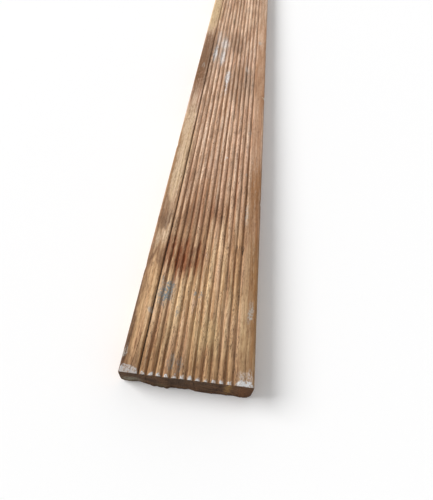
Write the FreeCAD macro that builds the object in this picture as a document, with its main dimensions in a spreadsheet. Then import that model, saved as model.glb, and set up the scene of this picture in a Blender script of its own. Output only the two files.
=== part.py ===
"""A grooved decking board: one length of planed, pressure-treated softwood.

The board lies flat with its grooved walking face up. X runs across it, Y along its length and Z up.
The origin is the middle of the underside. All sizes are in millimetres.
"""

import FreeCAD
import Part
import Sketcher
import math
import os

# Driving sizes: cell alias, size and what it measures
SIZES = [
    ("board_length", 1800, "a stock length"),
    ("board_width", 120, "across the face, between the planed edges"),
    ("board_thickness", 28, "underside to the tops of the ribs"),
    ("top_arris_radius", 3, "rounding of the long edges of the walking face"),
    ("under_arris_radius", 4, "rounding of the long edges of the underside"),
    ("edge_land", 15, "least width of the plain strip left along each edge"),
    ("groove_pitch", 6.9, "from one groove to the next"),
    ("groove_mouth", 4.0, "between the two flanks of a groove, at the face"),
    ("groove_depth", 2.1, "face to the lowest point of a groove"),
    ("groove_root_radius", 1.0, "rounded bottom of a groove"),
    ("rib_shoulder_radius", 2.2, "rounding of a rib where its flank meets the face"),
]

# Formulas on the sheet: as many grooves as fit between the edge lands, as a row about the middle
GROOVED_WIDTH = "(sizes.board_width - 2 * sizes.edge_land - sizes.groove_mouth)"
GROOVE_STEPS = f"floor({GROOVED_WIDTH} / sizes.groove_pitch)"
FIRST_GROOVE_X = f"-{GROOVE_STEPS} * sizes.groove_pitch / 2"

# How a sketch numbers the points of a line or arc, its own two axes, and its origin
START, END, CENTRE = range(1, 4)
H_AXIS, V_AXIS = range(-1, -3, -1)
ORIGIN_POINT = (H_AXIS, START)

VECTOR = FreeCAD.Vector
NORMAL = VECTOR(0, 0, 1)


def make_size_sheet(doc):
    """The sheet of driving sizes, one row each: its meaning, its number and its alias."""
    sheet = doc.addObject("Spreadsheet::Sheet", "sizes")
    for row, (alias, size, meaning) in enumerate(SIZES, start=1):
        sheet.set(f"A{row}", meaning)
        sheet.set(f"B{row}", str(size))
        sheet.setAlias(f"B{row}", alias)
    doc.recompute()
    return sheet


def origin_plane(body, role):
    """One of the body's own base planes, such as XZ_Plane."""
    return next(feature for feature in body.Origin.OriginFeatures if feature.Role == role)


def new_section_sketch(body, name):
    """A sketch of a cross-section: its x is the board's X, and its y is the board's Z."""
    sketch = body.newObject("Sketcher::SketchObject", name)
    sketch.AttachmentSupport = [(origin_plane(body, "XZ_Plane"), "")]
    sketch.MapMode = "FlatFace"
    return sketch


def bind(sketch, constraint, name, formula):
    """Adds a dimension to a sketch under a name, with its value bound to the sheet."""
    index = sketch.addConstraint(constraint)
    sketch.renameConstraint(index, name)
    sketch.setExpression(f"Constraints.{name}", formula)


def draw_blank(body, sheet):
    """The planed blank's rectangle, with its underside on the sketch's own x axis."""
    sketch = new_section_sketch(body, "blank_section")
    half, top = sheet.board_width / 2, sheet.board_thickness
    corners = [VECTOR(-half, 0), VECTOR(half, 0), VECTOR(half, top), VECTOR(-half, top)]
    sides = [Part.LineSegment(a, b) for a, b in zip(corners, corners[1:] + corners[:1])]
    outline = sketch.addGeometry(sides)
    for side, following in zip(outline, outline[1:] + outline[:1]):
        sketch.addConstraint(Sketcher.Constraint("Coincident", side, END, following, START))
    underside, right_edge, face, left_edge = outline
    for side, direction in ((face, "Horizontal"), (right_edge, "Vertical"), (left_edge, "Vertical")):
        sketch.addConstraint(Sketcher.Constraint(direction, side))
    sketch.addConstraint(Sketcher.Constraint("Symmetric", underside, START, underside, END, *ORIGIN_POINT))
    bind(sketch, Sketcher.Constraint("DistanceX", underside, START, underside, END, sheet.board_width),
         "width", "sizes.board_width")
    bind(sketch, Sketcher.Constraint("DistanceY", right_edge, START, right_edge, END, top),
         "thickness", "sizes.board_thickness")
    return sketch


def draw_groove(body, sheet):
    """One groove: a V with a rounded root, whose flanks roll over into the face on each side."""
    sketch = new_section_sketch(body, "groove_section")
    sketch.setExpression("AttachmentOffset.Base.x", FIRST_GROOVE_X)
    sketch.setExpression("AttachmentOffset.Base.y", "sizes.board_thickness")

    half_mouth = sheet.groove_mouth / 2
    root, shoulder = sheet.groove_root_radius, sheet.rib_shoulder_radius
    root_drop = sheet.groove_depth - root
    lean = math.atan2(half_mouth, root_drop) - math.asin(root / math.hypot(half_mouth, root_drop))
    outer = half_mouth + shoulder * math.tan((math.pi / 2 - lean) / 2)

    def shoulder_arc(side):
        centre = VECTOR(side * outer, -shoulder)
        low, high = (math.pi / 2, math.pi - lean) if side > 0 else (lean, math.pi / 2)
        return Part.ArcOfCircle(Part.Circle(centre, NORMAL, shoulder), low, high)

    right_shoulder, left_shoulder = shoulder_arc(1), shoulder_arc(-1)
    root_circle = Part.Circle(VECTOR(0, -root_drop), NORMAL, root)
    root_arc = Part.ArcOfCircle(root_circle, math.pi + lean, 2 * math.pi - lean)
    face, right, right_flank, bottom, left_flank, left, corner = sketch.addGeometry([
        Part.LineSegment(VECTOR(-outer, 0), VECTOR(outer, 0)),
        right_shoulder,
        Part.LineSegment(right_shoulder.EndPoint, root_arc.EndPoint),
        root_arc,
        Part.LineSegment(root_arc.StartPoint, left_shoulder.StartPoint),
        left_shoulder,
        Part.Point(VECTOR(half_mouth, 0)),
    ])
    sketch.setConstruction(corner, True)

    joins = [
        (face, END, right, START), (right, END, right_flank, START), (right_flank, END, bottom, END),
        (bottom, START, left_flank, START), (left_flank, END, left, START), (left, END, face, START),
    ]
    for join in joins:
        sketch.addConstraint(Sketcher.Constraint("Tangent", *join))
    sketch.addConstraint(Sketcher.Constraint("PointOnObject", face, START, H_AXIS))
    sketch.addConstraint(Sketcher.Constraint("Symmetric", face, START, face, END, *ORIGIN_POINT))
    sketch.addConstraint(Sketcher.Constraint("PointOnObject", bottom, CENTRE, V_AXIS))
    sketch.addConstraint(Sketcher.Constraint("Equal", right, left))
    sketch.addConstraint(Sketcher.Constraint("PointOnObject", corner, START, H_AXIS))
    sketch.addConstraint(Sketcher.Constraint("PointOnObject", corner, START, right_flank))
    bind(sketch, Sketcher.Constraint("Radius", bottom, root),
         "root_radius", "sizes.groove_root_radius")
    bind(sketch, Sketcher.Constraint("Radius", right, shoulder),
         "shoulder_radius", "sizes.rib_shoulder_radius")
    bind(sketch, Sketcher.Constraint("DistanceX", *ORIGIN_POINT, corner, START, half_mouth),
         "half_mouth", "sizes.groove_mouth / 2")
    bind(sketch, Sketcher.Constraint("DistanceY", bottom, CENTRE, *ORIGIN_POINT, root_drop),
         "root_drop", "sizes.groove_depth - sizes.groove_root_radius")
    return sketch


def long_edges_at(shape, height):
    """Names of the full-length edges that lie at one height."""
    names = []
    for number, edge in enumerate(shape.Edges, start=1):
        box = edge.BoundBox
        along = box.YLength > max(box.XLength, box.ZLength)
        if along and math.isclose(box.ZMin, height, abs_tol=1e-6):
            names.append(f"Edge{number}")
    return names


def round_arrises(body, base, name, height, radius):
    """Rounds the two long edges of the blank at one height."""
    fillet = body.newObject("PartDesign::Fillet", name)
    fillet.Base = (base, long_edges_at(base.Shape, height))
    fillet.setExpression("Radius", radius)
    return fillet


def make_board(doc, sheet):
    """Planes the blank, rounds its arrises and runs the row of grooves along its face."""
    body = doc.addObject("PartDesign::Body", "decking_board")
    body.Label = "decking_board"

    blank = body.newObject("PartDesign::Pad", "blank")
    blank.Profile = draw_blank(body, sheet)
    blank.SideType = "Symmetric"
    blank.setExpression("Length", "sizes.board_length")
    doc.recompute()

    top = round_arrises(body, blank, "top_arrises", sheet.board_thickness, "sizes.top_arris_radius")
    doc.recompute()
    round_arrises(body, top, "under_arrises", 0, "sizes.under_arris_radius")
    doc.recompute()

    groove = body.newObject("PartDesign::Pocket", "groove")
    groove.Profile = draw_groove(body, sheet)
    groove.SideType = "Symmetric"
    groove.Type = "ThroughAll"
    doc.recompute()

    grooves = body.newObject("PartDesign::LinearPattern", "grooves")
    grooves.Originals = [groove]
    grooves.Direction = (groove.Profile[0], ["H_Axis"])
    grooves.Mode = "Spacing"
    grooves.setExpression("Offset", "sizes.groove_pitch")
    grooves.setExpression("Occurrences", f"{GROOVE_STEPS} + 1")
    body.Tip = grooves
    doc.recompute()
    return body


def check(doc, subparts):
    """Stops if any object failed to build, or a sub-part is not one valid solid."""
    for thing in doc.Objects:
        if "Invalid" in thing.State or "Error" in thing.State:
            raise RuntimeError(f"{thing.Name} failed: {thing.State}")
    for subpart in subparts:
        shape = subpart.Shape
        if shape.isNull() or not shape.isValid() or len(shape.Solids) != 1:
            raise RuntimeError(f"{subpart.Label} is not one valid solid")


def main():
    doc = FreeCAD.newDocument("decking_board")
    sheet = make_size_sheet(doc)
    board = make_board(doc, sheet)
    check(doc, [board])
    os.makedirs("parts", exist_ok=True)
    board.Shape.exportStep(f"parts/{board.Label}.step")
    print(f"{board.Label}: {board.Shape.Volume / 1000:.1f} cm3, {len(board.Shape.Faces)} faces")


main()
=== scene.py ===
import math

import bmesh
import bpy
from mathutils import Matrix, Vector, noise


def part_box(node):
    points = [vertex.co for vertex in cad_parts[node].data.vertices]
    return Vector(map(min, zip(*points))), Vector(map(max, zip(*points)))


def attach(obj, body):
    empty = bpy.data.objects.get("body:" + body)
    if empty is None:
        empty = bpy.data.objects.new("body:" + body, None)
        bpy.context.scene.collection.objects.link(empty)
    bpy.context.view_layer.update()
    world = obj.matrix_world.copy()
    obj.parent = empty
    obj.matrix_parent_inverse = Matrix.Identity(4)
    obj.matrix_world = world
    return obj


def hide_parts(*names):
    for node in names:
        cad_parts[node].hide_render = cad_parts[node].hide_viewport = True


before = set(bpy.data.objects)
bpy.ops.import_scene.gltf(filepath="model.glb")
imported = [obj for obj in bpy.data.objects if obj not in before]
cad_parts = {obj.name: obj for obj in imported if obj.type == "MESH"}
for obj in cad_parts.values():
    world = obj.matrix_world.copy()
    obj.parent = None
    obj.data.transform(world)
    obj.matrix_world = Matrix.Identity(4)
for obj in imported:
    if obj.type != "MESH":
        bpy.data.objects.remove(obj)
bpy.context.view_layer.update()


# The board as it left the moulder
# One length of softwood, planed all round, with thirteen grooves run along the walking face and both
# ends sawn square. The section is the solid's own, divided finely enough to take years of wear.

MM = 0.001
BOARD_NODE = "decking_board"
LOW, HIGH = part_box(BOARD_NODE)
LENGTH = HIGH.y - LOW.y
MERGE_GAP = 0.001 * MM
COPLANAR = math.radians(3)
MOSTLY = 0.5
ARC_STEP = 0.55 * MM
STRAIGHT_RUN = 1.0 * MM
FACE_STEP = 1.5 * MM
SIDE_STEP = 6.0 * MM
FACE_BAND = 6.0 * MM
ROWS = 400
NEAR_CROWDING = 0.24
END_ARRIS = 0.4 * MM
END_ARRIS_STEPS = 2
END_STEP = 1.4 * MM
SIDEWAYS, UPRIGHT = Vector((1, 0, 0)), Vector((0, 0, 1))
PLANED, SAWN = range(2)


def runs_along(edge):
    """Whether an edge runs from one sawn end towards the other."""
    a, b = edge.verts
    return abs(a.co.y - b.co.y) > MOSTLY * (a.co - b.co).length


def sawn_ends(bm):
    """The two end faces, which have far more corners than any other."""
    return sorted(bm.faces, key=lambda face: len(face.verts))[-2:]


def thin_arcs(bm):
    """Drops spare lengthwise edges where the section's arcs are finer than they need to be."""
    outline = [loop.vert for loop in sawn_ends(bm)[0].loops]
    spare = []
    last_kept = outline[-1].co
    for vert, after in zip(outline, outline[1:] + outline[:1]):
        starts_a_flat = (after.co - vert.co).length > STRAIGHT_RUN
        if starts_a_flat or (vert.co - last_kept).length > ARC_STEP:
            last_kept = vert.co
        else:
            spare += [edge for edge in vert.link_edges if runs_along(edge)]
    bmesh.ops.dissolve_edges(bm, edges=spare, use_verts=True)


def divide_across(bm):
    """Divides the wide flats into strips, narrow on the walking face and wide elsewhere."""
    groups = {}
    for edge in bm.edges:
        on_face = min(vert.co.z for vert in edge.verts) > HIGH.z - FACE_BAND
        cuts = round(edge.calc_length() / (FACE_STEP if on_face else SIDE_STEP)) - 1
        if cuts > 0 and not runs_along(edge):
            groups.setdefault(cuts, []).append(edge)
    for cuts, edges in groups.items():
        bmesh.ops.subdivide_edges(bm, edges=edges, cuts=cuts, use_grid_fill=True)


def divide_along(bm):
    """Divides the length into rows that are closest together at the near end."""
    edges = [edge for edge in bm.edges if runs_along(edge)]
    bmesh.ops.subdivide_edges(bm, edges=edges, cuts=ROWS, use_grid_fill=True)
    for vert in bm.verts:
        share = (vert.co.y - LOW.y) / LENGTH
        vert.co.y = LOW.y + LENGTH * (NEAR_CROWDING * share + (1 - NEAR_CROWDING) * share**2)


def close_ends(bm):
    """Fills the two open ends, eases the arris round each and cuts it into a grid of small faces."""
    rims = [edge for edge in bm.edges if edge.is_boundary]
    caps = bmesh.ops.edgeloop_fill(bm, edges=rims, mat_nr=SAWN)["faces"]
    bmesh.ops.recalc_face_normals(bm, faces=bm.faces[:])
    arrises = [edge for cap in caps for edge in cap.edges]
    bmesh.ops.bevel(bm, geom=arrises, offset=END_ARRIS, offset_type="OFFSET", segments=END_ARRIS_STEPS,
                    profile=0.5, affect="EDGES", material=-1)
    for cap in sawn_ends(bm):
        geometry = [cap, *cap.edges, *cap.verts]
        for axis, low, high in ((SIDEWAYS, LOW.x, HIGH.x), (UPRIGHT, LOW.z, HIGH.z)):
            count = round((high - low) / END_STEP)
            for step in range(1, count):
                place = axis * (low + (high - low) * step / count)
                geometry = bmesh.ops.bisect_plane(bm, geom=geometry, plane_co=place, plane_no=axis)["geom"]


board_mesh = bmesh.new()
board_mesh.from_mesh(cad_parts[BOARD_NODE].data)
bmesh.ops.remove_doubles(board_mesh, verts=board_mesh.verts[:], dist=MERGE_GAP)
bmesh.ops.dissolve_limit(board_mesh, angle_limit=COPLANAR, verts=board_mesh.verts[:],
                         edges=board_mesh.edges[:])
for face in board_mesh.faces:
    face.material_index = PLANED
thin_arcs(board_mesh)
bmesh.ops.delete(board_mesh, geom=sawn_ends(board_mesh), context="FACES_ONLY")
divide_across(board_mesh)
divide_along(board_mesh)
close_ends(board_mesh)


# Drying checks
# The end grain dried faster than the rest, so the wood has split along the grain where the board was cut:
# a long check slants across the left land, short ones run up the face, and others cross the end's rings.

CHECK_WIDTH = 0.5
CHECK_CUTS = (-0.5, 0, 0.5)
CHECK_SLACK = 0.1
CHECK_TAPER = 3
CHECK_MARGIN = 4.0
CHECK_REACH = 60
FACE_DEPTH = 4.0
ACROSS, ALONG, DOWN = range(3)

# From one place across and along to another, and the depth, in millimetres
FACE_CHECKS = (
    ((-49.4, 1.6), (-44.9, 50), 0.9),
    ((51.6, 1.6), (51.0, 34), 0.6),
    ((35.7, 1.6), (36.0, 15), 0.7),
    ((-25.0, 1.6), (-24.6, 22), 0.6),
)

# The same for the near end, from one place across and down to another
END_CHECKS = (
    ((-18.9, 4), (-10.1, 21), 1.6),
    ((6.0, 5), (8.4, 25), 1.2),
    ((31.2, 3.5), (26.0, 22), 1.4),
    ((-35.2, 3.2), (-36.5, 17), 2.2),
)


def place_of(vert):
    """Millimetres across from the middle, along from the near end and down from the walking face."""
    return vert.co.x / MM, (vert.co.y - LOW.y) / MM, (HIGH.z - vert.co.z) / MM


def put(vert, across, along, down):
    """Moves a vertex to a place in millimetres."""
    vert.co = (across * MM, LOW.y + along * MM, HIGH.z - down * MM)


def open_check(bm, start, end, depth, runs, sinks):
    """Splits a surface from one place across it to another: three cuts, with the middle one sunk."""
    slope = (end[0] - start[0]) / (end[1] - start[1])
    normal = Vector((1, -slope, 0) if runs == ALONG else (1, 0, slope)).normalized()
    origin = Vector((start[0] * MM, LOW.y + start[1] * MM, HIGH.z - start[1] * MM))

    def off_line(vert):
        place = place_of(vert)
        return place[ACROSS] - start[0] - slope * (place[runs] - start[1])

    def beside(vert):
        place = place_of(vert)
        within = start[1] < place[runs] < end[1] and place[sinks] < FACE_DEPTH
        return within and abs(off_line(vert)) < CHECK_MARGIN

    for side in CHECK_CUTS:
        close_by = [face for face in bm.faces if face.verts[0].co.y < LOW.y + CHECK_REACH * MM]
        faces = [face for face in close_by if all(beside(vert) for vert in face.verts)]
        edges = dict.fromkeys(edge for face in faces for edge in face.edges)
        verts = dict.fromkeys(vert for face in faces for vert in face.verts)
        bmesh.ops.bisect_plane(bm, geom=[*faces, *edges, *verts], plane_no=normal,
                               plane_co=origin + normal * (side * CHECK_WIDTH * MM))
    for vert in [vert for vert in bm.verts if vert.co.y < LOW.y + CHECK_REACH * MM]:
        if beside(vert) and abs(off_line(vert)) < CHECK_SLACK * CHECK_WIDTH:
            place = list(place_of(vert))
            place[sinks] += depth * min(1, CHECK_TAPER * (end[1] - place[runs]) / (end[1] - start[1]))
            put(vert, *place)


for start, end, depth in FACE_CHECKS:
    open_check(board_mesh, start, end, depth, ALONG, DOWN)
for start, end, depth in END_CHECKS:
    open_check(board_mesh, start, end, depth, DOWN, ALONG)


# Wear along the ribs, lands and arrises
# Rain, frost and feet have worn the crowns of the ribs by tenths of a millimetre, along the grain and in
# nicks, sunk the knots, opened a split by the first groove and chipped the arrises. The timber has also
# moved as it dried, so the ribs stray a little.

GROOVES = 13
RIB_PITCH = 6.9
LAND_START = RIB_PITCH * (GROOVES - 1) / 2
CROWN_DEPTH = 1.6
LEFT, RIGHT = -1, 1

# Each layer of lumps on the face has a share, a width, a length and a seed
LAND_WEAR = 0.2
LAND_LUMPS = ((0.6, 9, 70, 3), (0.4, 1.8, 30, 4))
GRAIN_LUMPS = ((0.28, 1.4, 26, 16),)
NICK_WEAR = 2.0
NICK_LEVEL = 0.6
NICK_LUMPS = ((1, 2.4, 7, 17),)

# Each layer along one rib or arris has a share, a step from one to the next, a length and a seed
RIB_WEAR = 0.3
RIB_LUMPS = ((0.75, 3.7, 70, 1), (0.25, 5.3, 9, 2))
ARRIS_START = 55.5
ARRIS_DEPTH = 9.0
ARRIS_WEAR = 0.7
ARRIS_DROP = 0.5
ARRIS_LUMPS = ((0.65, 4, 45, 6), (0.35, 4, 9, 7))

RIB_WANDER = 0.3
SWAY_LUMPS = ((1.5, 12, 60, 8), (0.5, 4, 16, 9))
SWAY_MIDDLE = 1
RIB_SHIFT = -0.5
RIB_DRIFT = 0.85
DRIFT_START, DRIFT_END = 90, 210
EDGE_HOLD = 8

SPLIT_ACROSS = -41.7
SPLIT_HALF_WIDTH = 0.5
SPLIT_DEPTH = 0.8
SPLIT_LEAST = 0.4
SPLIT_LENGTH = 50
SPLIT_SEED = (2, 10)

# Side, place along, half length and depth
CHIPS = (
    (RIGHT, 466, 3.5, 1.4),
    (RIGHT, 226, 4, 0.9),
    (RIGHT, 635, 6, 1.1),
    (LEFT, 322, 4, 0.8),
    (LEFT, 114, 5, 0.6),
    (LEFT, 1010, 6, 1.2),
    (RIGHT, 1330, 7, 1.1),
)

# Place across and along, radius and depth
KNOTS = (
    (10.6, 198, 9, 0.6),
    (35.8, 147, 2.4, 0.5),
    (25.1, 149, 2, 0.45),
    (41.6, 149, 2.4, 0.5),
    (-52, 1130, 9, 0.6),
    (20, 1420, 8, 0.5),
)
KNOT_STRETCH = 1.5
KNOT_EXTENT = 2
KNOT_STEEPNESS = 2
KNOT_LEAST = 0.4
KNOT_LUMPS = ((1.2, 1.3, 2, 5),)


def lump(*place):
    """Smooth noise between nought and one."""
    return 0.5 + 0.5 * noise.noise(Vector(place))


def lumps(layers, across, along):
    """Layers of lumps added up at a place."""
    return sum(share * lump(across / width, along / length, seed) for share, width, length, seed in layers)


def lane_lumps(layers, lane, along):
    """Layers of lumps added up along one rib or arris, which has noise of its own."""
    return sum(share * lump(lane * step, along / length, seed) for share, step, length, seed in layers)


def face_wear(across, along, down):
    """How much wood has gone from the walking face at a place, most of it from the crowns."""
    crown = max(0, 1 - down / CROWN_DEPTH)
    if abs(across) > LAND_START:
        worn = LAND_WEAR * lumps(LAND_LUMPS, across, along)
    else:
        worn = RIB_WEAR * lane_lumps(RIB_LUMPS, math.floor(across / RIB_PITCH), along)
    worn += lumps(GRAIN_LUMPS, across, along)
    worn += NICK_WEAR * max(0, lumps(NICK_LUMPS, across, along) - NICK_LEVEL)
    return crown * worn


def knot_wear(across, along):
    """How far a knot, rough and a little sunk, has worn below the face round it."""
    total = 0
    for knot_across, knot_along, radius, depth in KNOTS:
        apart = math.hypot(across - knot_across, (along - knot_along) / KNOT_STRETCH) / radius
        if apart < KNOT_EXTENT:
            rough = KNOT_LEAST + lumps(KNOT_LUMPS, across, along)
            total += depth * math.exp(-KNOT_STEEPNESS * apart**2) * rough
    return total


def rib_wander(across, along):
    """How far the ribs stray sideways, less and less towards the edges."""
    inside = max(0, 1 - (across / HIGH.x * MM) ** EDGE_HOLD)
    share = min(1, max(0, (along - DRIFT_START) / (DRIFT_END - DRIFT_START)))
    drift = RIB_SHIFT + RIB_DRIFT * share * share * (3 - 2 * share)
    return inside * (drift + RIB_WANDER * (lumps(SWAY_LUMPS, across, along) - SWAY_MIDDLE))


def split_wear(across, along):
    """How far the wood has opened along the left side of the first groove."""
    beside = math.exp(-((across - SPLIT_ACROSS) / SPLIT_HALF_WIDTH) ** 2)
    opening = SPLIT_LEAST + (1 - SPLIT_LEAST) * lump(along / SPLIT_LENGTH, *SPLIT_SEED)
    return SPLIT_DEPTH * beside * opening


def arris_wear(side, along):
    """How much wood has gone from an outer arris, with its chips."""
    total = ARRIS_WEAR * lane_lumps(ARRIS_LUMPS, side, along)
    for chip_side, chip_along, half_length, depth in CHIPS:
        if chip_side == side:
            total += depth * math.exp(-((along - chip_along) / half_length) ** 2)
    return total


for vert in board_mesh.verts:
    across, along, down = place_of(vert)
    if down < FACE_DEPTH:
        worn = face_wear(across, along, down) + knot_wear(across, along) + split_wear(across, along)
        put(vert, across + rib_wander(across, along), along, down + worn)
    if abs(across) > ARRIS_START and down < ARRIS_DEPTH:
        across, along, down = place_of(vert)
        side = math.copysign(1, across)
        high_up = 1 - down / ARRIS_DEPTH
        outward = (abs(across) - ARRIS_START) / (HIGH.x / MM - ARRIS_START)
        bite = arris_wear(side, along) * high_up * outward
        put(vert, across - side * bite, along, down + ARRIS_DROP * bite)


# The broken near end
# The saw tore the fibres here and the end has since been knocked about. Rib ends are rounded over, the
# cut is rough, wood is gone from under the left corner and splinters stand proud of the lower edge.

THICKNESS = (HIGH.z - LOW.z) / MM
END_REACH = 14.0
RIB_END = 4.0
RIB_END_FALL = 0.8
RIB_END_LEAST = 0.6
RIB_END_SPREAD = 0.8
RIB_END_WIDTH = 3
RIB_END_SEED = (1, 14)
TORN_DEPTH = 0.9
TORN_STEEPNESS = 1.6
CUT_LUMPS = ((0.35, 1.6, 1.6, 11), (0.4, 7, 5, 12))
CUT_MIDDLE = 0.2
SPLINTER_WIDTH = 3.5
SPLINTER_SEED = (1, 13)
SPLINTER_LUMPS = ((1.2, 1.5, 4, 15),)
SPLINTER_MIDDLE = 1.1

# Middle across, half width and depth, which is below nought where wood stands proud
BREAKS = (
    (-58, 5, 1.7),
    (-45, 6, 2.7),
    (-36, 1.6, 1.0),
    (-31, 1.6, -0.7),
    (-24.5, 4.0, -0.9),
    (-17.5, 2.8, -1.6),
    (-12.5, 2.2, 1.0),
    (-7, 1.6, -0.5),
    (3, 2.2, 0.6),
    (10, 1.6, -0.5),
    (21, 11, -1.3),
    (37, 7, -0.8),
    (52, 7, -1.3),
    (61, 2.5, 1.2),
)


def torn(across, down):
    """How far the torn end stands back from the saw's line, most of all low down."""
    low_down = (down / THICKNESS) ** TORN_STEEPNESS
    back = TORN_DEPTH * (lumps(CUT_LUMPS, across, down) - CUT_MIDDLE)
    splinters = lump(across / SPLINTER_WIDTH, *SPLINTER_SEED) + lumps(SPLINTER_LUMPS, across, down)
    back += low_down * TORN_DEPTH * (splinters - SPLINTER_MIDDLE)
    for centre, half_width, depth in BREAKS:
        back += low_down * depth * math.exp(-((across - centre) / half_width) ** 2)
    return back


for vert in board_mesh.verts:
    across, along, down = place_of(vert)
    if along < RIB_END and down < FACE_DEPTH:
        fall = RIB_END_FALL * (1 - along / RIB_END) ** 2 * max(0, 1 - down / FACE_DEPTH)
        down += fall * (RIB_END_LEAST + RIB_END_SPREAD * lump(across / RIB_END_WIDTH, *RIB_END_SEED))
    if along < END_REACH:
        along += torn(across, down) * (1 - along / END_REACH) ** 2
    put(vert, across, along, down)


# The finished board
# One length of stock, shaded smooth but for its sawn and broken edges. Its skin is also laid out flat, for
# finishes that are kept as pictures: three lengths side by side, the near one largest, above them the ends.

SHARP = math.radians(42)
SKIN_MAP = "OFBake"
WIDTH = (HIGH.x - LOW.x) / MM
FACE_RUN = WIDTH
EDGE_RUN = 0.6 * THICKNESS
UNDER_RUN = 0.35 * WIDTH
SKIN_RUN = FACE_RUN + 2 * EDGE_RUN + UNDER_RUN
SKIN_HEIGHT = 0.94
END_PLACES = (0.0, 0.51)
END_BASE, END_WIDTH, END_HEIGHT = 0.955, 0.49, 0.045
EDGE_ZONE = 47
STEEP = 0.7

# Where each length starts and stops along the board, and its left and right on the layout
SKIN_LENGTHS = (
    (0, 400, 0.0, 0.41),
    (400, 900, 0.42, 0.74),
    (900, LENGTH / MM, 0.75, 1.0),
)


def round_section(face, across, down):
    """How far round the section a corner of a face lies, from the left edge of the walking face."""
    middle = face.calc_center_median()
    on_edge = abs(middle.x) > EDGE_ZONE * MM and abs(face.normal.x) > STEEP
    share_across, share_down = 0.5 + across / WIDTH, down / THICKNESS
    if on_edge and middle.x > 0:
        return FACE_RUN + EDGE_RUN * share_down
    if on_edge:
        return SKIN_RUN - EDGE_RUN * share_down
    if middle.z > (LOW.z + HIGH.z) / 2:
        return FACE_RUN * share_across
    return FACE_RUN + EDGE_RUN + UNDER_RUN * (1 - share_across)


def lay_out_skin(bm):
    """Gives every corner of every face its place on the flat layout."""
    layer = bm.loops.layers.uv.new(SKIN_MAP)
    for face in bm.faces:
        middle = (face.calc_center_median().y - LOW.y) / MM
        start, stop, left, right = [row for row in SKIN_LENGTHS if row[0] <= max(0, middle)][-1]
        for loop in face.loops:
            across, along, down = place_of(loop.vert)
            if face.material_index == SAWN:
                u = END_PLACES[middle > LENGTH / MM / 2] + END_WIDTH * (0.5 + across / WIDTH)
                v = END_BASE + END_HEIGHT * (1 - down / THICKNESS)
            else:
                u = left + (right - left) * round_section(face, across, down) / SKIN_RUN
                v = SKIN_HEIGHT * (along - start) / (stop - start)
            loop[layer].uv = (u, v)


board_mesh.normal_update()
lay_out_skin(board_mesh)
for face in board_mesh.faces:
    face.smooth = True
for edge in board_mesh.edges:
    edge.smooth = edge.calc_face_angle(0) < SHARP
board_data = bpy.data.meshes.new("board")
board_mesh.to_mesh(board_data)
board_mesh.free()
board = bpy.data.objects.new("board", board_data)
bpy.context.scene.collection.objects.link(board)
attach(board, "root")
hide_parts(BOARD_NODE)


# Softwood, planed and then weathered
# Pressure-treated timber gone from green to honey and tan. The grain is a solid pattern of growth rings
# about a pith under the board, so lines on the face meet the rings on the ends, with fibres along it.

PITH = (14, 0, -64)
RING_WIDTH = 3.4
RING_PLANE = (1, 0, 1)
RING_GROWS = (0.25, 0.9)
RING_STOPS = (1.0, 0.93)
PATCH_EDGE = 1.3

# Which of a Mix node's sockets hold its two colours and the result
MIX_UNDER, MIX_OVER, MIX_RESULT = 6, 7, 2

# Lumps of noise: their size across, along and up, their detail, and where they start and are full
FIBRES = ((0.7, 45, 0.7), 3, 0.3, 0.7)
STREAKS = ((2.6, 150, 2.6), 3, 0.32, 0.68)

# Places pushed about by noise: the size of its lumps, its detail, and the swing from side to side
RING_STIR = ((60, 420, 60), 2, (34, 0, 30))


def srgb(red, green, blue):
    """A colour as screens give it, turned into the linear values that shaders use."""
    channels = (value / 255 for value in (red, green, blue))
    return (*(c / 12.92 if c <= 0.04045 else ((c + 0.055) / 1.055) ** 2.4 for c in channels), 1)


def feed(tree, socket, value):
    """Links a socket to another one, or sets its own value."""
    if isinstance(value, bpy.types.NodeSocket):
        tree.links.new(value, socket)
    else:
        socket.default_value = value


def maths(tree, operation, *values, clamp=False):
    """A Math node's result."""
    node = tree.nodes.new("ShaderNodeMath")
    node.operation = operation
    node.use_clamp = clamp
    for socket, value in zip(node.inputs, values):
        feed(tree, socket, value)
    return node.outputs[0]


def vector_of(tree, operation, *values):
    """A Vector Math node's vector, or its number where the operation gives one."""
    node = tree.nodes.new("ShaderNodeVectorMath")
    node.operation = operation
    for socket, value in zip(node.inputs, values):
        feed(tree, socket, value)
    return node.outputs["Value" if operation == "LENGTH" else "Vector"]


def times(tree, first, *others, clamp=False):
    """The product of some values, held between nought and one at the end if clamped."""
    product = first
    for count, value in enumerate(others, start=1):
        product = maths(tree, "MULTIPLY", product, value, clamp=clamp and count == len(others))
    return product


def ramp(tree, value, start, rise):
    """A start, with a rise that grows with the value."""
    return maths(tree, "MULTIPLY_ADD", value, rise, start)


def weighted(tree, values, shares, start=0):
    """A start, and on top of it some values, each times its share."""
    total = start
    for value, share in zip(values, shares):
        total = ramp(tree, value, total, share)
    return total


def fade(tree, value, start, end):
    """A soft step: nought at the start, one at the end."""
    node = tree.nodes.new("ShaderNodeMapRange")
    node.interpolation_type = "SMOOTHSTEP"
    feed(tree, node.inputs["Value"], value)
    feed(tree, node.inputs["From Min"], start)
    feed(tree, node.inputs["From Max"], end)
    return node.outputs["Result"]


def cloud(tree, place, cell, detail, output="Fac"):
    """Noise whose lumps have the given size across, along and up."""
    node = tree.nodes.new("ShaderNodeTexNoise")
    node.inputs["Scale"].default_value = 1
    node.inputs["Detail"].default_value = detail
    feed(tree, node.inputs["Vector"], vector_of(tree, "DIVIDE", place, cell))
    return node.outputs[output]


def spots(tree, place, cell, detail, start, end):
    """Lumps of noise with soft edges: nought between them and one inside."""
    return fade(tree, cloud(tree, place, cell, detail), start, end)


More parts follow.
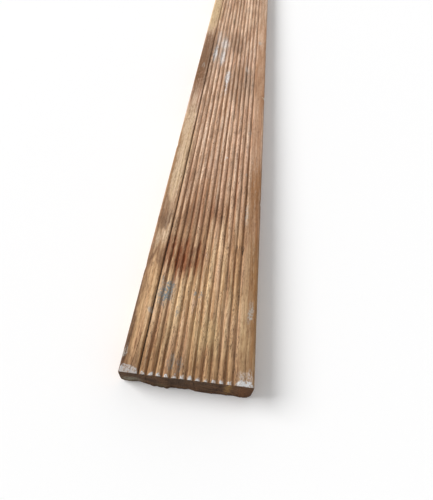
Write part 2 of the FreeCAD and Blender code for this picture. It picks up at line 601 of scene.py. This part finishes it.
def stirred(tree, place, cell, detail, swing):
    """A place pushed about by noise, by up to half the swing each way."""
    middle = tuple(-size / 2 for size in swing)
    push = vector_of(tree, "MULTIPLY_ADD", cloud(tree, place, cell, detail, "Color"), swing, middle)
    return vector_of(tree, "ADD", place, push)


def mix(tree, kind, amount, under, over):
    """A Mix node's colour."""
    node = tree.nodes.new("ShaderNodeMix")
    node.data_type = "RGBA"
    node.blend_type = kind
    feed(tree, node.inputs["Factor"], amount)
    feed(tree, node.inputs[MIX_UNDER], under)
    feed(tree, node.inputs[MIX_OVER], over)
    return node.outputs[MIX_RESULT]


def blend(tree, amount, under, over):
    """One colour laid over another."""
    return mix(tree, "MIX", amount, under, over)


def shade(tree, colour, value):
    """A colour made lighter or darker by a number or by another colour."""
    return mix(tree, "MULTIPLY", 1, colour, value)


def new_group(name, inputs, outputs):
    """An empty shader group with its sockets, and its two end nodes."""
    tree = bpy.data.node_groups.new(name, "ShaderNodeTree")
    for socket, kind in inputs.items():
        tree.interface.new_socket(socket, in_out="INPUT", socket_type=kind)
    for socket, kind in outputs.items():
        tree.interface.new_socket(socket, in_out="OUTPUT", socket_type=kind)
    return tree, tree.nodes.new("NodeGroupInput").outputs, tree.nodes.new("NodeGroupOutput").inputs


def use_group(tree, group, **values):
    """Places a group and feeds its inputs."""
    node = tree.nodes.new("ShaderNodeGroup")
    node.node_tree = group
    for name, value in values.items():
        feed(tree, node.inputs[name.title()], value)
    return node.outputs


def make_softwood_grain():
    """Growth rings about the pith, and fine fibres along the board."""
    number = "NodeSocketFloat"
    tree, given, result = new_group("softwood_grain", {"Place": "NodeSocketVector"},
                                    {"Ring": number, "Fibre": number, "Streak": number})
    place = given["Place"]
    from_pith = vector_of(tree, "SUBTRACT", stirred(tree, place, *RING_STIR), PITH)
    radius = vector_of(tree, "LENGTH", vector_of(tree, "MULTIPLY", from_pith, RING_PLANE))
    phase = maths(tree, "FRACT", maths(tree, "DIVIDE", radius, RING_WIDTH))
    ring = times(tree, fade(tree, phase, *RING_GROWS), fade(tree, phase, *RING_STOPS))
    feed(tree, result["Ring"], ring)
    feed(tree, result["Fibre"], spots(tree, place, *FIBRES))
    feed(tree, result["Streak"], spots(tree, place, *STREAKS))
    return tree


def make_patch():
    """A soft-edged oval patch about a centre."""
    vector, number = "NodeSocketVector", "NodeSocketFloat"
    inputs = {"Place": vector, "Centre": vector, "Reach": vector, "Core": number}
    tree, given, result = new_group("patch", inputs, {"Mask": number})
    offset = vector_of(tree, "SUBTRACT", given["Place"], given["Centre"])
    apart = vector_of(tree, "LENGTH", vector_of(tree, "DIVIDE", offset, given["Reach"]))
    feed(tree, result["Mask"], fade(tree, apart, PATCH_EDGE, given["Core"]))
    return tree


SOFTWOOD_GRAIN = make_softwood_grain()
PATCH = make_patch()


def patch(tree, place, centre, reach, core):
    """The mask of one patch."""
    return use_group(tree, PATCH, place=place, centre=centre, reach=reach, core=core)["Mask"]


def new_material(name):
    """An empty material: its tree, its shader and the board's millimetres from its near end."""
    material = bpy.data.materials.new(name)
    material.use_nodes = True
    tree = material.node_tree
    spot = tree.nodes.new("ShaderNodeTexCoord")
    mapping = tree.nodes.new("ShaderNodeMapping")
    mapping.inputs["Location"].default_value = (0, -LOW.y / MM, -HIGH.z / MM)
    mapping.inputs["Scale"].default_value = (1 / MM, 1 / MM, 1 / MM)
    tree.links.new(spot.outputs["Object"], mapping.inputs["Vector"])
    return material, tree, tree.nodes["Principled BSDF"], mapping.outputs["Vector"]


def finish_surface(tree, shader, colour, roughness, gloss, height):
    """Gives a surface its colour, its dullness and the relief that is too fine for the mesh."""
    tree.links.new(colour, shader.inputs["Base Color"])
    shader.inputs["Roughness"].default_value = roughness
    shader.inputs["Specular IOR Level"].default_value = gloss
    bump = tree.nodes.new("ShaderNodeBump")
    bump.inputs["Distance"].default_value = MM
    tree.links.new(height, bump.inputs["Height"])
    tree.links.new(bump.outputs["Normal"], shader.inputs["Normal"])


HONEY = srgb(214, 183, 143)
TAN = srgb(226, 197, 173)
RUDDY = srgb(210, 168, 142)
GOLD = srgb(222, 194, 146)
UMBER = srgb(130, 96, 70)
SOIL = srgb(84, 58, 41)
SOOT = srgb(48, 34, 27)
RUST = srgb(119, 54, 9)
ROSE = srgb(208, 172, 148)
SLATE = srgb(128, 134, 134)
ASH = srgb(178, 174, 166)
CHALK = srgb(224, 221, 219)
PAINT = srgb(206, 206, 206)
CREAM = srgb(238, 226, 200)
MOSS = srgb(112, 100, 72)
EARTH = srgb(126, 80, 30)
BARK = srgb(121, 87, 60)
SAND = srgb(228, 200, 170)
AMBER = srgb(234, 188, 140)
CLAY = srgb(191, 140, 99)

# How far the tones of the wood shade it at their darkest and palest, and how far painted shade darkens and
# browns the groove flanks, none on the crowns
DEEP = (0.54, 0.42, 0.33, 1)
PALE = (1.18, 1.21, 1.23, 1)
CROWN = (1, 1, 1, 1)
PAINTED_FLANK_SHADE = (0.94, 0.84, 0.73, 1)

# Fades over heights from the face, and last over distances from the middle line, in millimetres
FACE_FADE = (-9, -4)
FLANK_FADE = (-0.3, -1.9)
GROOVE_FADE = (-1.2, -2.0)
BOTTOM_FADE = (-1.96, -2.1)
LAND_FADE = (LAND_START + 4, LAND_START + 2)

weathered, tree, shader, place = new_material("weathered_softwood")
axes = tree.nodes.new("ShaderNodeSeparateXYZ")
tree.links.new(place, axes.inputs[0])
across, along, up = axes.outputs
grain = use_group(tree, SOFTWOOD_GRAIN, place=place)
face_mask = fade(tree, up, *FACE_FADE)
between_lands = fade(tree, maths(tree, "ABSOLUTE", across), *LAND_FADE)
in_groove = times(tree, between_lands, fade(tree, up, *FLANK_FADE))
groove_mask = times(tree, fade(tree, up, *GROOVE_FADE), between_lands, face_mask)

# Bare wood: honey at the near end and paler further on, in tones drawn along the grain, with painted shade
# on the groove flanks
BROAD = ((22, 150, 22), 2, 0.3, 0.7)
BLOTCHES = ((5, 80, 5), 3, 0.3, 0.7)
MOTTLING = ((2.8, 8, 2.8), 3, 0.3, 0.7)
RUDDINESS = ((8, 75, 8), 3, 0.42, 0.7)
HONEY_TO_TAN = (80, 300)
RUDDY_SHARE = 0.5
SANDY_FAR, SANDY_SHARE = (600, 760), 0.3
BROWN_RIGHT, BROWN_SHARE = (15, 52), 0.2
EARTHY_NEAR, EARTHY_SHARE = (75, 2), 0.5
TONE_SHARES = (0.18, 0.17, 0.14, 0.29, 0.28, -0.18)
TONE_SPAN = (0.12, 0.92)
DIRT_AND_SHADE_BEGINS, DIRT_AND_SHADE_ENDS = (70, 170), (660, 430)
FLANK_SHADE_RAMP = (0.5, 0.5)
BLEACHED_RAMP = (0.1, 0.05)

broad = spots(tree, place, *BROAD)
blotch = spots(tree, place, *BLOTCHES)
mottle = spots(tree, place, *MOTTLING)
wood = blend(tree, fade(tree, along, *HONEY_TO_TAN), HONEY, TAN)
wood = blend(tree, times(tree, spots(tree, place, *RUDDINESS), RUDDY_SHARE), wood, RUDDY)
wood = blend(tree, times(tree, fade(tree, along, *SANDY_FAR), SANDY_SHARE), wood, SAND)
wood = blend(tree, times(tree, fade(tree, across, *BROWN_RIGHT), BROWN_SHARE), wood, UMBER)
wood = blend(tree, times(tree, fade(tree, along, *EARTHY_NEAR), EARTHY_SHARE), wood, EARTH)
tones = (broad, blotch, mottle, grain["Streak"], grain["Fibre"], grain["Ring"])
tone = weighted(tree, tones, TONE_SHARES)
wood = shade(tree, wood, blend(tree, fade(tree, tone, *TONE_SPAN), DEEP, PALE))
# Where along the board the grooves hold most dirt and the flanks take most painted shade
dirtiest_and_shadiest = times(tree, fade(tree, along, *DIRT_AND_SHADE_BEGINS), fade(tree, along, *DIRT_AND_SHADE_ENDS))
# Painted shade: the groove flanks darker and browner than the crowns, as wood in shade looks
flank_shade = times(tree, in_groove, ramp(tree, dirtiest_and_shadiest, *FLANK_SHADE_RAMP))
wood = shade(tree, wood, blend(tree, flank_shade, CROWN, PAINTED_FLANK_SHADE))
bleached = times(tree, ramp(tree, dirtiest_and_shadiest, *BLEACHED_RAMP), between_lands)
wood = shade(tree, wood, maths(tree, "ADD", bleached, 1))

# Stains that have soaked in, deepest in the grooves and drawn out along the fibres, and bands of painted
# shade down both arrises
FAR = 5000
PATCH_CORE = 0.1
STAIN_AND_SHADE_SPAN = (0.1, 0.9)
STAIN_AND_SHADE_STIR = ((3.4, 34, 3.4), 3, (7, 60, 0))
DRAWN_OUT_SHARES, DRAWN_OUT_START = (0.75, 0.75), 0.25
DEEPER_SHARES, DEEPER_START = (-0.2, 0.5), 1

# Colour, middle across and along, half width and half length in millimetres, and strength
STAINS_AND_ARRIS_SHADE = (
    (RUST, -21, 131, 27, 34, 0.65),
    (RUST, -25, 125, 9, 26, 0.8),
    (RUST, -38, 137, 7, 34, 0.65),
    (RUST, -8, 129, 11, 27, 0.45),
    (RUST, -21, 172, 27, 48, 0.27),
    (UMBER, -21, 180, 27, 40, 0.15),
    (RUST, -16, 208, 34, 46, 0.2),
    (RUST, 4, 235, 60, 95, 0.1),
    (GOLD, -51, 310, 17, 130, 0.5),
    (SAND, -51.5, 350, 6, 130, 0.5),
    (GOLD, 52, 40, 14, 70, 0.2),
    (UMBER, -53, 12, 12, 20, 0.62),
    # Painted shade: dark bands down the rounded left arris
    (BARK, -58.5, 60, 6.5, 98, 0.95),
    (EARTH, -55.5, 45, 4.0, 50, 0.35),
    (SOIL, -58.8, 62, 5.2, 82, 0.95),
    (BARK, -58.5, 150, 5.5, 50, 0.5),
    (EARTH, -58.5, 280, 6, 125, 0.65),
    (BARK, -58.5, 505, 7.5, 105, 0.6),
    (BARK, -58.5, 760, 4.5, 80, 0.3),
    (UMBER, 54, 14, 6, 16, 0.4),
    # Painted shade: dark bands down the rounded right arris, on its side away from the lamp
    (EARTH, 55.8, 95, 5.0, 100, 0.58),
    (EARTH, 53, 245, 6, 75, 0.42),
    (EARTH, 54, 485, 4, 50, 0.2),
    (UMBER, -52, 125, 12, 15, 0.9),
    (SAND, -50, 154, 9, 15, 0.45),
    (SOIL, -51, 179, 14, 15, 0.58),
    (UMBER, -56, 196, 9, 32, 0.6),
    (UMBER, -52, 490, 15, 58, 0.42),
    (EARTH, -51, 578, 24, 136, 0.68),
    (SOIL, -51, 585, 24, 128, 0.4),
    (EARTH, 51, 200, 18, 150, 0.4),
    (EARTH, 51, 258, 16, 60, 0.38),
    (EARTH, 51, 520, 14, 130, 0.16),
    (CLAY, 52, 540, 14, 400, 0.36),
    (UMBER, 18, 500, 32, 80, 0.48),
    (RUST, 8, 202, 18, 24, 0.32),
    (SOOT, 35.8, 147, 1.8, 2.6, 0.9),
    (SOOT, 25.1, 149, 1.5, 2.3, 0.8),
    (SOOT, 41.6, 149, 1.8, 2.6, 0.8),
    (SOIL, 28, 525, 4.5, 28, 0.5),
    (SOIL, 9.7, 622, 6, 18, 0.45),
    (UMBER, 5.8, 650, 18, 60, 0.6),
    (MOSS, -9.7, 750, 3, 20, 0.55),
    (GOLD, -52, 790, 16, 130, 0.7),
    (AMBER, -51, 70, 9, 70, 0.5),
    (GOLD, 12, 46, 18, 26, 0.45),
    (ASH, -24, 622, 19, 88, 0.3),
    (ASH, -50, 545, 3, 14, 0.4),
    (ASH, 30, 548, 6, 16, 0.3),
    (SOIL, 25, 574, 5, 24, 0.35),
    (ROSE, 2.9, 132, 3.4, 10, 0.6),
    (ROSE, -2.9, 77, 4, 11, 0.6),
)

streaked_place = stirred(tree, place, *STAIN_AND_SHADE_STIR)
drawn_out = weighted(tree, (grain["Fibre"], mottle), DRAWN_OUT_SHARES, DRAWN_OUT_START)
deeper_in_grooves = weighted(tree, (between_lands, in_groove), DEEPER_SHARES, DEEPER_START)
# The stains and the bands of painted shade, each laid over the wood
for colour, middle_across, middle_along, half_width, half_length, strength in STAINS_AND_ARRIS_SHADE:
    centre, reach = (middle_across, middle_along, 0), (half_width, half_length, FAR)
    mask = patch(tree, streaked_place, centre, reach, PATCH_CORE)
    uneven = fade(tree, times(tree, mask, drawn_out), *STAIN_AND_SHADE_SPAN)
    stain_and_shade = times(tree, uneven, times(tree, deeper_in_grooves, strength), face_mask, clamp=True)
    wood = blend(tree, stain_and_shade, wood, colour)

# Dirt in the grooves, painted shade as a dark line along their bottoms, and painted shadow as a darker one
# in the split
DIRT_SHARES = (0.22, 0.3)
SPLIT_SIDES, SPLIT_FADE = (1.0, 0.2), (-0.9, -1.7)
SPLIT_ENDS, SPLIT_RAMP = (620, 340), (0.2, 0.8)
SPLIT_TONE = (0.3, 0.5)
BOTTOM_ENDS, BOTTOM_RAMP = (600, 380), (0.16, 0.5)

dirt = weighted(tree, (dirtiest_and_shadiest, blotch), DIRT_SHARES)
wood = blend(tree, times(tree, groove_mask, dirt, clamp=True), wood, SOIL)
# Painted shadow: a darker line in the split along the first groove, beside the left land
split_line = ramp(tree, fade(tree, along, DRIFT_START, DRIFT_END), SPLIT_ACROSS + RIB_SHIFT, RIB_DRIFT)
from_split = maths(tree, "ABSOLUTE", maths(tree, "SUBTRACT", across, split_line))
split_shadow = times(tree, fade(tree, from_split, *SPLIT_SIDES), fade(tree, up, *SPLIT_FADE), face_mask)
split_shadow = times(tree, split_shadow, ramp(tree, fade(tree, along, *SPLIT_ENDS), *SPLIT_RAMP))
wood = blend(tree, times(tree, split_shadow, ramp(tree, broad, *SPLIT_TONE)), wood, SOOT)
# Painted shade: a dark line along the bottom of each groove, varied by the mottling and gone far along the
# board
root_shade = times(tree, fade(tree, up, *BOTTOM_FADE), fade(tree, along, *BOTTOM_ENDS), groove_mask)
wood = blend(tree, times(tree, root_shade, ramp(tree, mottle, *BOTTOM_RAMP)), wood, SOOT)

# Marks along the fibres: brown dashes, mould flecks, thickest round the largest knot, and hairlines
DASHES, DASH_SHARE = ((0.5, 6, 0.5), 3, 0.56, 0.72), 0.7
FLECKS = ((0.42, 3.4, 0.42), 2, 0.56, 0.66)
FLECKED = ((2.6, 26, 2.6), 2, 0.44, 0.6)
FLECKED_RAMP, FLECKS_OFF_LANDS = (0.15, 0.75), (0.5, 0.5)
KNOT_PLACE, KNOT_REACH = (9, 200, 0), (14, 16, FAR)
RAGGED_STIR = ((4, 9, 4), 4, (8, 20, 0))
HAIR_CELL, HAIR_DETAIL, HAIR_LEVEL = (1.2, 60, 1.2), 2, 0.5
HAIR_WIDTH = (0.04, 0.01)
HAIRY = ((6, 40, 6), 2, 0.46, 0.6)
HAIRS_OFF_LANDS = (0.2, 0.3)

ragged_place = stirred(tree, place, *RAGGED_STIR)
dashes = spots(tree, place, *DASHES)
wood = blend(tree, times(tree, dashes, DASH_SHARE), wood, BARK)
round_knot = patch(tree, ragged_place, KNOT_PLACE, KNOT_REACH, PATCH_CORE)
flecked = maths(tree, "ADD", spots(tree, place, *FLECKED), round_knot, clamp=True)
flecks = times(tree, spots(tree, place, *FLECKS), ramp(tree, flecked, *FLECKED_RAMP))
flecks = times(tree, flecks, ramp(tree, between_lands, *FLECKS_OFF_LANDS), face_mask)
wood = blend(tree, flecks, wood, SOIL)
off_level = maths(tree, "SUBTRACT", cloud(tree, place, HAIR_CELL, HAIR_DETAIL), HAIR_LEVEL)
hairlines = fade(tree, maths(tree, "ABSOLUTE", off_level), *HAIR_WIDTH)
hairlines = times(tree, hairlines, spots(tree, place, *HAIRY))
hairlines = times(tree, hairlines, ramp(tree, between_lands, *HAIRS_OFF_LANDS), face_mask)
wood = blend(tree, hairlines, wood, SOIL)

# Grey, chalky and creamy crusts with ragged edges, that lie on the face
CRUST_CORE = 0.45
CRUST_GRAIN = ((1.1, 2.0, 1.1), 4, 0.36, 0.56)
SPECKLES = ((0.6, 0.8, 0.6), 2, 0.3, 0.7)
CRUST_RAMP = (0.72, 0.5)

# Colour, middle across and along, half width and half length in millimetres, and strength
CRUSTS = (
    (SLATE, -33.4, 82, 7.6, 12.5, 1.0),
    (SLATE, -29, 91, 3.6, 11, 0.9),
    (SLATE, -38.7, 98, 2.4, 5.8, 0.7),
    (SLATE, -3.4, 85, 1.9, 3.4, 0.75),
    (SLATE, 2.9, 85, 1.9, 3.4, 0.75),
    (SLATE, -18.4, 64, 2.1, 3.9, 0.75),
    (ASH, -44.5, 63, 1.9, 4.9, 0.7),
    (ASH, 53.2, 72, 3.3, 11.6, 0.7),
    (ASH, 54.2, 65, 1.6, 2.9, 0.8),
    (ASH, 43.5, 202, 1.9, 17.5, 0.65),
    (ASH, 47.4, 660, 2.9, 6.8, 0.75),
    (ASH, 40.6, 366, 1.9, 7.8, 0.65),
    (ASH, 38.7, 273, 1.6, 3.9, 0.6),
    (ASH, -57.1, 20, 2.5, 5.8, 0.6),
    (SLATE, -15, 14, 3.4, 9, 0.55),
    (SLATE, -8, 11, 2.4, 7, 0.5),
    (CHALK, -4.8, 517, 3.8, 23, 1.3),
    (CHALK, -4.8, 489, 1.7, 26, 0.8),
    (CHALK, -19.3, 587, 4.6, 30, 1.0),
    (CHALK, -19.3, 641, 7.8, 23, 0.75),
    (CHALK, -33, 672, 4, 26, 0.4),
    (CHALK, -33.8, 601, 3.4, 34, 1.0),
    (CHALK, 10.6, 303, 2.9, 1.8, 0.9),
    (CREAM, 57.6, 466, 2.2, 2.5, 1.0),
    (ASH, 26.1, 554, 2.9, 9.7, 0.6),
    (CHALK, 48.4, 8, 4.4, 6.8, 0.36),
    (CHALK, 55.1, 9, 2.5, 5.8, 0.4),
)

crust_grain = spots(tree, place, *CRUST_GRAIN)
crust_tone = ramp(tree, spots(tree, place, *SPECKLES), *CRUST_RAMP)
for colour, middle_across, middle_along, half_width, half_length, strength in CRUSTS:
    centre, reach = (middle_across, middle_along, 0), (half_width, half_length, FAR)
    mask = patch(tree, ragged_place, centre, reach, CRUST_CORE)
    crust = times(tree, mask, times(tree, crust_grain, strength), face_mask, clamp=True)
    wood = blend(tree, crust, wood, shade(tree, colour, crust_tone))

# White paint brushed over the near end, that ran further on the lands and has flaked
PAINT_LEFT, PAINT_RIGHT = (-43, -46), (43, 46)
PAINT_ON_LANDS, PAINT_ON_RIBS = (3.6, 2.0), 2.6
PAINT_CROWNS, PAINT_FLANKS = (-2.0, -0.3), (-2.0, -1.2)
PAINT_CELL, PAINT_DETAIL, PAINT_WOBBLE = (2.6, 2.6, 2.6), 3, (-3.5, 7)
PAINT_EDGE = (1.0, -1.0)
PAINT_FLAKES = ((1.2, 1.5, 1.2), 3, 0.28, 0.54)
PAINT_WORN_LEFT = (1, -0.35)

left_land = fade(tree, across, *PAINT_LEFT)
right_land = fade(tree, across, *PAINT_RIGHT)
limit = weighted(tree, (left_land, right_land), PAINT_ON_LANDS, PAINT_ON_RIBS)
limit = times(tree, limit, fade(tree, up, *PAINT_CROWNS))
wobble = ramp(tree, cloud(tree, place, PAINT_CELL, PAINT_DETAIL), *PAINT_WOBBLE)
past = maths(tree, "SUBTRACT", maths(tree, "ADD", along, wobble), limit)
paint = times(tree, fade(tree, past, *PAINT_EDGE), fade(tree, up, *PAINT_FLANKS))
paint = times(tree, paint, spots(tree, place, *PAINT_FLAKES), ramp(tree, left_land, *PAINT_WORN_LEFT))
wood = blend(tree, paint, wood, PAINT)

# Dull all over, with fibres, marks and paint that can be felt
WOOD_ROUGHNESS, WOOD_GLOSS = 0.82, 0.3
WOOD_RELIEF = (0.12, 0.1, -0.12, -0.3, -0.4, 0.08, 0.15)

reliefs = (grain["Fibre"], grain["Ring"], dashes, flecks, hairlines, mottle, paint)
height = weighted(tree, reliefs, WOOD_RELIEF)
finish_surface(tree, shader, wood, WOOD_ROUGHNESS, WOOD_GLOSS, height)
board_data.materials.append(weathered)


# The sawn ends
# End grain drinks water, so the saw cuts have gone dark brown, with the rings and the saw's lines showing.
# The near one has grey and mossy dirt low down, a run of resin and a reddish corner.

END_BROWN = srgb(107, 77, 52)
END_DARK = srgb(56, 40, 28)
RESIN = srgb(176, 136, 76)
RUSSET = srgb(132, 83, 46)
LICHEN = srgb(154, 150, 130)
DAMPNESS, DAMP_SHARE = ((17, 17, 9), 3, 0.32, 0.7), 0.75
PORES = ((0.45, 0.45, 0.45), 2, 0.3, 0.7)
SAW_LINES = ((0.8, 40, 16), 2, 0.35, 0.65)
CRUMBS = ((1.2, 1.2, 1.2), 3, 0.33, 0.6)
END_RING_SHARE = 0.6
END_TONE_SHARES, END_TONE_START = (0.25, 0.3, 0.4), 0.45
END_STIR = ((4, 4, 4), 4, (9, 0, 9))
CRUSTED_RAMP = (0.5, 0.5)
END_PATCH_DEPTH = 40
END_ROUGHNESS, END_GLOSS = 0.9, 0.2
END_RELIEF = (0.3, 0.2, 0.12, 0.15)

# Colour, middle across and up from the face, half width and half height in millimetres, and strength
END_PATCHES = (
    (LICHEN, -50, -20, 11, 9, 0.62),
    (MOSS, -23, -23, 7, 6, 0.45),
    (RESIN, 38, -4, 2.2, 3, 0.65),
    (RESIN, 37.5, -12, 3.6, 12, 0.55),
    (RUSSET, 52, -14, 12, 16, 0.45),
)

sawn, tree, shader, place = new_material("sawn_end_grain")
grain = use_group(tree, SOFTWOOD_GRAIN, place=place)
pores = spots(tree, place, *PORES)
saw_lines = spots(tree, place, *SAW_LINES)
crumbs = spots(tree, place, *CRUMBS)
wood = blend(tree, times(tree, spots(tree, place, *DAMPNESS), DAMP_SHARE), END_BROWN, END_DARK)
wood = blend(tree, times(tree, grain["Ring"], END_RING_SHARE), wood, END_DARK)
wood = shade(tree, wood, weighted(tree, (saw_lines, pores, crumbs), END_TONE_SHARES, END_TONE_START))
ragged_place = stirred(tree, place, *END_STIR)
crusted = ramp(tree, crumbs, *CRUSTED_RAMP)
for colour, middle_across, middle_up, half_width, half_height, strength in END_PATCHES:
    centre, reach = (middle_across, 0, middle_up), (half_width, END_PATCH_DEPTH, half_height)
    mask = patch(tree, ragged_place, centre, reach, PATCH_CORE)
    wood = blend(tree, times(tree, mask, times(tree, crusted, strength)), wood, colour)
height = weighted(tree, (crumbs, saw_lines, pores, grain["Ring"]), END_RELIEF)
finish_surface(tree, shader, wood, END_ROUGHNESS, END_GLOSS, height)
board_data.materials.append(sawn)


# The floor and the light
# A plain white floor just clear of the underside, an even white sky and one broad lamp from the left,
# a little behind the board. The sky lights the board at half strength and shows as white.

FLOOR_SIZE = 20
FLOOR_GAP = 0.1 * MM
FLOOR_WHITE = (0.97, 0.97, 0.97, 1)
SKY_WHITE = (1, 1, 1, 1)
SKY_LEVEL = 0.5
LAMP_LEVEL = 2.7
LAMP_WIDTH = math.radians(35)
TOWARDS_LAMP = Vector((-0.78, 0.12, 0.60))

floor_mesh = bmesh.new()
bmesh.ops.create_grid(floor_mesh, x_segments=1, y_segments=1, size=FLOOR_SIZE,
                      matrix=Matrix.Translation((0, 0, -FLOOR_GAP)))
floor_data = bpy.data.meshes.new("floor")
floor_mesh.to_mesh(floor_data)
floor_mesh.free()
floor = bpy.data.objects.new("floor", floor_data)
bpy.context.scene.collection.objects.link(floor)
floor_white = bpy.data.materials.new("floor_white")
floor_white.use_nodes = True
shader = floor_white.node_tree.nodes["Principled BSDF"]
shader.inputs["Base Color"].default_value = FLOOR_WHITE
shader.inputs["Roughness"].default_value = 1
floor_data.materials.append(floor_white)

sky = bpy.data.worlds.new("sky")
sky.use_nodes = True
tree = sky.node_tree
background = tree.nodes["Background"]
background.inputs["Color"].default_value = SKY_WHITE
ray = tree.nodes.new("ShaderNodeLightPath").outputs
seen = maths(tree, "ADD", ray["Is Camera Ray"], ray["Is Glossy Ray"])
seen = maths(tree, "ADD", seen, ray["Is Transmission Ray"], clamp=True)
tree.links.new(ramp(tree, seen, SKY_LEVEL, 1 - SKY_LEVEL), background.inputs["Strength"])
bpy.context.scene.world = sky

lamp_data = bpy.data.lights.new("lamp", "SUN")
lamp_data.energy = LAMP_LEVEL
lamp_data.angle = LAMP_WIDTH
lamp = bpy.data.objects.new("lamp", lamp_data)
lamp.rotation_mode = "QUATERNION"
lamp.rotation_quaternion = TOWARDS_LAMP.to_track_quat("Z", "Y")
bpy.context.scene.collection.objects.link(lamp)


# The camera
# A wide phone lens held above the near end, looking down along the board and tilted a little.
# It sees the near half of the board, and the far half runs out of the top of the picture.

LENS = 26.78
SENSOR = 36
LOOK_DOWN = math.radians(52.465)
ROLL = math.radians(7.035)
CAMERA_PLACE = Vector((0.01237, LOW.y - 0.1050, HIGH.z + 0.3241))

camera_data = bpy.data.cameras.new("camera")
camera_data.lens = LENS
camera_data.sensor_width = SENSOR
camera = bpy.data.objects.new("camera", camera_data)
tilt = Matrix.Rotation(math.pi / 2 - LOOK_DOWN, 4, "X") @ Matrix.Rotation(ROLL, 4, "Z")
camera.matrix_world = Matrix.Translation(CAMERA_PLACE) @ tilt
bpy.context.scene.collection.objects.link(camera)
bpy.context.scene.camera = camera
bpy.context.scene.view_settings.view_transform = "Standard"
